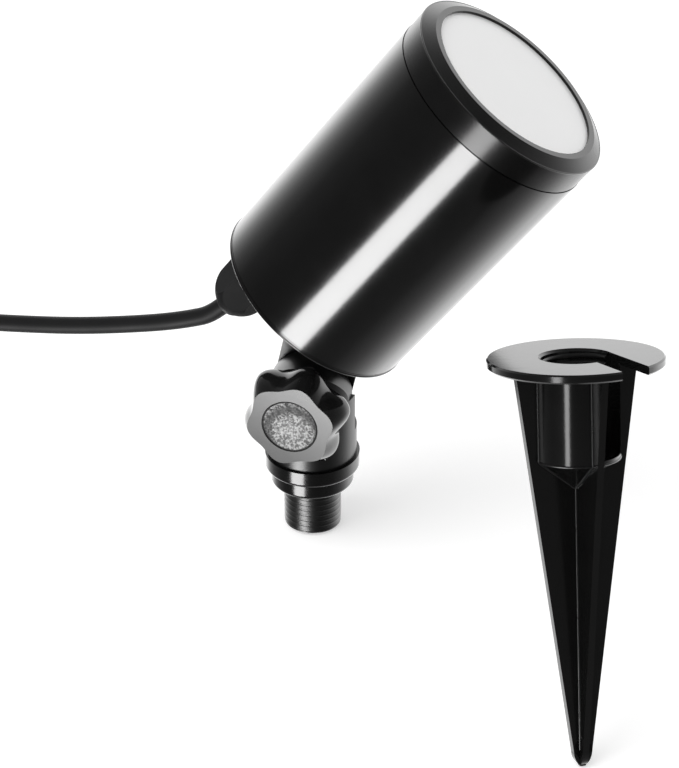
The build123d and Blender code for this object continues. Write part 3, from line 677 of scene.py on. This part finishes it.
for node in nodes.values():
    for slot in node.material_slots:
        slot.material = finishes[slot.material.name.split(".")[0]]
for slot in nodes["front_bezel"].material_slots:
    slot.material = bezelFinish
cable.data.materials.append(finishes["cable_rubber"])
for finish in (moulded["coreBrown"], moulded["coreBlue"], moulded["coreYellow"], metal["copperStrand"]):
    coreEnds.data.materials.append(finish)
print("finishes made", len(finishes))

# ---- screw threads

threadSizes = {
    "pitch": 2.25 * mm,
    "studRadius": 10.4775 * mm,
    "studTop": -1.6 * mm,
    "studTurns": 7,
    "sunk": 0.1 * mm,        # how deep a ridge's root lies in the stud
    "proud": 0.06 * mm,
    "base": 1.5 * mm,        # width of a ridge at its root
    "crest": 0.5 * mm,
    "steps": 96,             # per turn
    "crease": 60,            # degrees
}


def windRidge(bm, profile, begin, sweep, pitch):
    # winds a ridge down about the Z axis; the profile is (radius, height), the angles are degrees
    start = bm.faces.new([bm.verts.new(around(radius, begin, height)) for radius, height in profile])
    steps = round(threadSizes["steps"] * sweep / 360)
    bmesh.ops.spin(
        bm, geom=[start, *start.edges, *start.verts], cent=(0, 0, 0), axis=(0, 0, 1),
        dvec=(0, 0, -pitch * sweep / 360 / steps), angle=math.radians(sweep), steps=steps,
        use_duplicate=False,
    )


def makeStudThread(sizes):
    # one ridge wound down the stud, from its shoulder to its end
    bm = bmesh.new()
    root = sizes["studRadius"] - sizes["sunk"]
    crest = sizes["studRadius"] + sizes["proud"]
    top = sizes["studTop"]
    profile = (
        (root, top + sizes["base"] / 2), (crest, top + sizes["crest"] / 2),
        (crest, top - sizes["crest"] / 2), (root, top - sizes["base"] / 2),
    )
    windRidge(bm, profile, 0, 360 * sizes["studTurns"], sizes["pitch"])
    return closeMesh(bm, "studThread", sizes["crease"])


studThread = makeStudThread(threadSizes)
studThread.data.materials.append(finishes["black_casting"])
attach(studThread, "base")

socketSizes = {
    "place": Vector((103.4, -69.5, 106.7)) * mm,
    "axis": Vector((-0.1241, 0.2866, 0.9500)),
    "side": Vector((0.9898, 0.103, 0.0982)),
    "radius": 10.55 * mm,
    "top": -1.9 * mm,
    "turns": 9,
    "ridge": (               # how far it stands out of the bore's wall, and its half width in pitches
        (-0.1 * mm, 0.42),
        (0.43 * mm, 0.22),
        (0.55 * mm, 0.07),
    ),
    "slotFrom": -52.3,       # degrees, the arc that the slot takes from each ridge
    "slotTo": 33.4,
}


def makeSocketThread(sizes):
    # one ridge a turn round the bore, each stopped at the slot's two walls
    bm = bmesh.new()
    pitch = threadSizes["pitch"]
    half = [(sizes["radius"] - proud, wide * pitch) for proud, wide in sizes["ridge"]]
    for turn in range(sizes["turns"]):
        height = sizes["top"] - turn * pitch
        profile = [(radius, height + wide) for radius, wide in half]
        profile += [(radius, height - wide) for radius, wide in reversed(half)]
        windRidge(bm, profile, sizes["slotTo"], 360 - (sizes["slotTo"] - sizes["slotFrom"]), pitch)
    seat = frameOf(sizes["place"], sizes["axis"], sizes["side"])
    bmesh.ops.transform(bm, matrix=seat, verts=bm.verts)
    return closeMesh(bm, "socketThread", threadSizes["crease"])


socketThread = makeSocketThread(socketSizes)
socketThread.data.materials.append(cornerFinish)
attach(socketThread, "base")
print("threads made")

# ---- rounded corners that catch the light

beadSizes = {
    "sides": 16,
    "cornerRound": 0.42 * mm,    # where a fin meets the boss and the cone
    "rootRound": 0.32 * mm,      # where two fins meet under the cone
    "edgeRound": 0.38 * mm,      # round the boss, at its top and its end
    "finAngles": (-150, -60, 30, 120),
    "finHalf": 1.1 * mm,
    "bossRadius": 13.2 * mm,
    "bossTop": -2.7 * mm,
    "bossEnd": -31.2 * mm,
    "endIn": 0.1 * mm,           # the lower bead lies this much further in
    "coneRadius": 1.9 * mm,      # where the bead on the cone ends
    "coneEnd": -40.6 * mm,
    "rootEnd": -126.0 * mm,
    "openFrom": -53.5,           # degrees, the slot's opening in the boss
    "openTo": 1.5,
    "tipRadius": 3.2 * mm,       # the fins end in two crossed round-nosed plates
    "tipStart": -126.4 * mm,
    "tipRun": 5.1 * mm,
    "tipSegments": 48,
    "headRings": (               # name, body, ring's radius, height in the head, bead's radius
        ("rearBead", "head", 36.62 * mm, 0.25 * mm, 0.62 * mm),
        ("bezelBead", "bezel", 36.62 * mm, 105.85 * mm, 0.26 * mm),
    ),
}


def addRod(bm, start, end, radius):
    # a thin rod between two points, nowhere near the X axis in its direction
    run = end - start
    seat = frameOf(start, run, (1, 0, 0)) @ Matrix.Translation((0, 0, run.length / 2))
    bmesh.ops.create_cone(
        bm, cap_ends=True, segments=beadSizes["sides"], radius1=radius, radius2=radius,
        depth=run.length, matrix=seat,
    )


def addRing(bm, ringRadius, height, radius, begin=0.0, sweep=360.0):
    # a round bead about the Z axis, whole or as an arc
    seat = Matrix.Rotation(math.radians(begin), 4, "Z") @ Matrix.Translation((ringRadius, 0, height))
    seat = seat @ Matrix.Rotation(math.pi / 2, 4, "X")
    whole = sweep == 360
    made = bmesh.ops.create_circle(
        bm, cap_ends=not whole, segments=beadSizes["sides"], radius=radius, matrix=seat,
    )
    edges = {edge for vertex in made["verts"] for edge in vertex.link_edges}
    faces = {face for vertex in made["verts"] for face in vertex.link_faces}
    bmesh.ops.spin(
        bm, geom=[*made["verts"], *edges, *faces], cent=(0, 0, 0), axis=(0, 0, 1),
        angle=math.radians(sweep), steps=round(sweep), use_merge=whole, use_duplicate=False,
    )


def addTipPlate(bm, sizes, turn):
    # a thick oval in the plane of two fins, whose lower half stands out below them
    stand = Matrix.Rotation(math.radians(turn), 4, "Z") @ Matrix.Rotation(math.pi / 2, 4, "X")
    seat = Matrix.Translation((0, 0, sizes["tipStart"])) @ stand
    seat = seat @ Matrix.Translation((0, 0, -sizes["finHalf"]))
    seat = seat @ Matrix.Diagonal((sizes["tipRadius"], sizes["tipRun"], 1, 1))
    made = bmesh.ops.create_circle(
        bm, cap_ends=True, segments=sizes["tipSegments"], radius=1, matrix=seat,
    )
    faces = {face for vertex in made["verts"] for face in vertex.link_faces}
    grown = bmesh.ops.extrude_face_region(bm, geom=list(faces), use_keep_orig=True)
    verts = [part for part in grown["geom"] if isinstance(part, bmesh.types.BMVert)]
    across = stand.to_3x3() @ Vector((0, 0, 2 * sizes["finHalf"]))
    bmesh.ops.translate(bm, vec=across, verts=verts)


def makeSpikeCorners(sizes):
    bm = bmesh.new()
    for fin in sizes["finAngles"][:2]:
        addTipPlate(bm, sizes, fin)
    boss = sizes["bossRadius"]
    atBoss = math.degrees(math.asin(sizes["finHalf"] / boss))
    atCone = math.degrees(math.asin(sizes["finHalf"] / sizes["coneRadius"]))
    root = sizes["finHalf"] * math.sqrt(2)
    for fin in sizes["finAngles"]:
        for side in (-1, 1):
            top = around(boss, fin + side * atBoss, sizes["bossTop"])
            low = around(boss, fin + side * atBoss, sizes["bossEnd"])
            end = around(sizes["coneRadius"], fin + side * atCone, sizes["coneEnd"])
            addRod(bm, top, low, sizes["cornerRound"])
            addRod(bm, low, end, sizes["cornerRound"])
        between = fin + 45
        rootTop = around(root, between, sizes["coneEnd"])
        addRod(bm, rootTop, around(root, between, sizes["rootEnd"]), sizes["rootRound"])
    sweep = 360 - (sizes["openTo"] - sizes["openFrom"])
    addRing(bm, boss, sizes["bossTop"], sizes["edgeRound"], sizes["openTo"], sweep)
    addRing(bm, boss - sizes["endIn"], sizes["bossEnd"], sizes["edgeRound"])
    seat = frameOf(socketSizes["place"], socketSizes["axis"], socketSizes["side"])
    bmesh.ops.transform(bm, matrix=seat, verts=bm.verts)
    return closeMesh(bm, "spikeCorners")


spikeCorners = makeSpikeCorners(beadSizes)
spikeCorners.data.materials.append(cornerFinish)
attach(spikeCorners, "base")


def makeHeadRing(name, ringRadius, height, radius):
    bm = bmesh.new()
    addRing(bm, ringRadius, height, radius)
    bmesh.ops.transform(bm, matrix=frameOf(headSizes["origin"], headAxis, headSide), verts=bm.verts)
    return closeMesh(bm, name)


for ringName, body, ringRadius, height, radius in beadSizes["headRings"]:
    ring = makeHeadRing(ringName, ringRadius, height, radius)
    ring.data.materials.append(finishes["black_gloss"])
    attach(ring, body)
print("beads made")

# ---- floor, world and lights

studio = {
    "floorSize": 6.0,
    "floorGrid": 4,
    "floorDrop": 0.05 * mm,      # below the cable's underside
    "floorWhite": 0.80,
    "floorGlow": 0.42,           # for the camera alone, so that the floor is white and keeps its shadow
    "ambient": 0.66,
    "backdrop": 2.4,             # the brightest that gloss sees behind the lamp
    "downBrighter": 0.35,        # how much more of it shows in gloss that faces down
    "rampScale": 0.4,            # turns a direction's depth into a place on the ramp
    "rampMiddle": 0.5,
    "backdropStops": (
        (0.30, 0.045), (0.46, 0.08), (0.52, 0.15), (0.58, 0.22), (0.64, 0.37),
        (0.70, 0.58), (0.76, 0.875), (0.82, 1.0), (0.90, 0.66),
    ),
    "keyPower": 16.0,
    "keyPlace": Vector((-0.7, -0.7, 1.4)),
    "keyTarget": Vector((0, 0, 0.05)),
    "keySize": 1.3,
    "middle": Vector((0.02, -0.02, 0.07)),       # of the lamp; the panel and the strip face it
    "panelFrom": Vector((-0.262, -0.815, -0.490)),
    "panelDistance": 1.0,
    "panelWidth": 0.41,
    "panelHeight": 0.60,
    "panelRadiance": 21.0,
    "stripFrom": Vector((-0.13, -0.98, 0.05)),
    "stripSize": 0.18,
    "stripRadiance": 8.5,
}


def makeFloor(sizes):
    bm = bmesh.new()
    bmesh.ops.create_grid(
        bm, x_segments=sizes["floorGrid"], y_segments=sizes["floorGrid"], size=sizes["floorSize"] / 2,
        matrix=Matrix.Translation((0, 0, cableSizes["floor"] - sizes["floorDrop"])),
    )
    floor = pieceFrom(bm, "floor")
    material, made = newFinish("paleFloor")
    camera = made.node("LightPath", {}, {}, "Is Camera Ray")
    diffuse = made.node("BsdfDiffuse", {}, {"Color": grey(sizes["floorWhite"])}, "BSDF")
    glow = made.node("Emission", {}, {"Color": grey(1.0), "Strength": camera * sizes["floorGlow"]})
    made.end("Material", made.node("AddShader", {}, {0: diffuse, 1: glow}))
    floor.data.materials.append(material)
    floor.visible_glossy = False
    floor.visible_shadow = False     # so that the low panel in front reaches the satin parts


def makeWorld(sizes):
    # white to the camera; to gloss, the pale backdrop behind the lamp and a dim room in front
    world = bpy.data.worlds.new("studioWorld")
    scene.world = world
    world.use_nodes = True
    world.cycles.sampling_method = "NONE"    # or its light would pass by the glossy test below
    made = Finish(world.node_tree)
    way = made.node("TexCoord", {}, {}, "Generated")
    depth = made.node("SeparateXYZ", {}, {"Vector": way}, "Y")
    height = made.node("SeparateXYZ", {}, {"Vector": way}, "Z")
    behind = (depth - height * sizes["downBrighter"]) * sizes["rampScale"] + sizes["rampMiddle"]
    backdrop = made.ramp(behind, *sizes["backdropStops"]) * sizes["backdrop"]
    isCamera = made.node("LightPath", {}, {}, "Is Camera Ray")
    isGlossy = made.node("LightPath", {}, {}, "Is Glossy Ray")
    seen = made.blendColours(isGlossy, grey(sizes["ambient"]), backdrop)
    seen = made.blendColours(isCamera, seen, grey(1.0))
    made.end("World", made.node("Background", {}, {"Color": seen, "Strength": 1.0}))


def areaLight(name, place, turn, width, height, power):
    data = bpy.data.lights.new(name, "AREA")
    data.shape = "RECTANGLE"
    data.size = width
    data.size_y = height
    data.energy = power
    lamp = bpy.data.objects.new(name, data)
    lamp.location = place
    lamp.rotation_euler = turn.to_euler()
    lamp.visible_camera = False
    scene.collection.objects.link(lamp)
    return lamp


def facing(place, target):
    return (target - place).to_track_quat("-Z", "Y")


def makeLights(sizes):
    wide = sizes["keySize"]
    turn = facing(sizes["keyPlace"], sizes["keyTarget"])
    key = areaLight("key", sizes["keyPlace"], turn, wide, wide, sizes["keyPower"])
    key.visible_glossy = False

    # the panel's long side lies along the head
    away = sizes["panelFrom"].normalized()
    along = (headAxis - away * away.dot(headAxis)).normalized()
    turn = Matrix((along.cross(away), along, away)).transposed()
    wide, high = sizes["panelWidth"], sizes["panelHeight"]
    panel = areaLight(
        "panel", sizes["middle"] + away * sizes["panelDistance"], turn, wide, high,
        sizes["panelRadiance"] * math.pi * wide * high,
    )
    wide = sizes["stripSize"]
    place = sizes["middle"] + sizes["stripFrom"]
    strip = areaLight(
        "strip", place, facing(place, sizes["middle"]), wide, wide,
        sizes["stripRadiance"] * math.pi * wide * wide,
    )
    for lamp in (panel, strip):
        lamp.visible_diffuse = False
        lamp.visible_transmission = False


makeFloor(studio)
makeWorld(studio)
makeLights(studio)
print("studio made")
